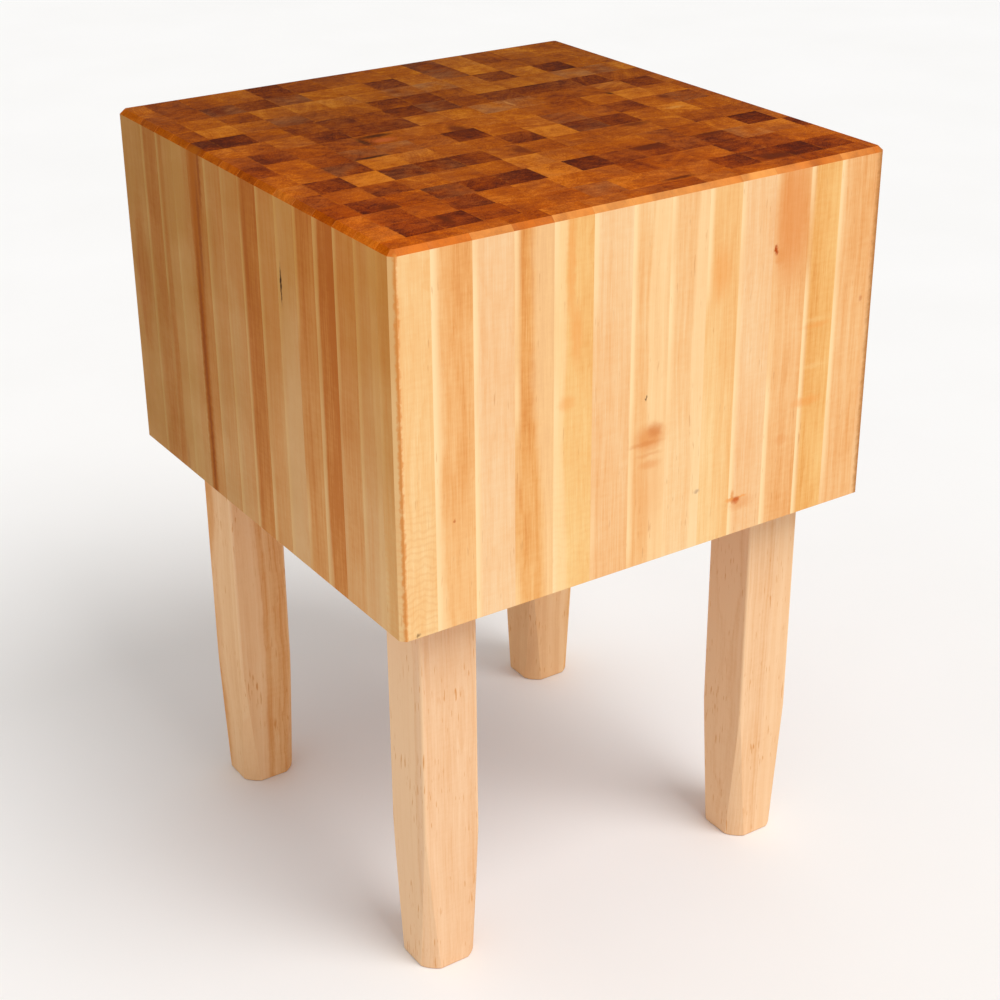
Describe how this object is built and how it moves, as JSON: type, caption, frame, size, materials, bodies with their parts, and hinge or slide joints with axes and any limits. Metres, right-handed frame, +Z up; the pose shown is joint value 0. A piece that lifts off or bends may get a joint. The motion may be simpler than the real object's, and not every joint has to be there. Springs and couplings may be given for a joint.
{
  "type": "butcher block table",
  "caption": "Square end-grain maple butcher block of upright glued staves on square legs turned to a taper, bolted on from below.",
  "frame": {"origin": "on the floor, under the middle of the block", "axes": "+Z up, -Y out of the front face, +X to the right as seen from the front"},
  "size_m": [0.6096, 0.6096, 0.8763],
  "materials": {
    "block_maple": "oiled satin",
    "leg_maple": "oiled satin",
    "bolt_steel": "zinc plated",
    "insert_brass": "machined"
  },
  "bodies": {
    "root": {"stave_row_01": "block_maple", "stave_row_02": "block_maple", "stave_row_03": "block_maple", "stave_row_04": "block_maple", "stave_row_05": "block_maple", "stave_row_06": "block_maple", "stave_row_07": "block_maple", "stave_row_08": "block_maple", "stave_row_09": "block_maple", "stave_row_10": "block_maple", "stave_row_11": "block_maple", "stave_row_12": "block_maple", "stave_row_13": "block_maple", "stave_row_14": "block_maple", "stave_row_15": "block_maple", "leg_front_left": "leg_maple", "leg_front_right": "leg_maple", "leg_back_left": "leg_maple", "leg_back_right": "leg_maple", "hanger_bolt_front_left": "bolt_steel", "hanger_bolt_front_right": "bolt_steel", "hanger_bolt_back_left": "bolt_steel", "hanger_bolt_back_right": "bolt_steel", "threaded_insert_front_left": "insert_brass", "threaded_insert_front_right": "insert_brass", "threaded_insert_back_left": "insert_brass", "threaded_insert_back_right": "insert_brass"}
  },
  "joints": []
}
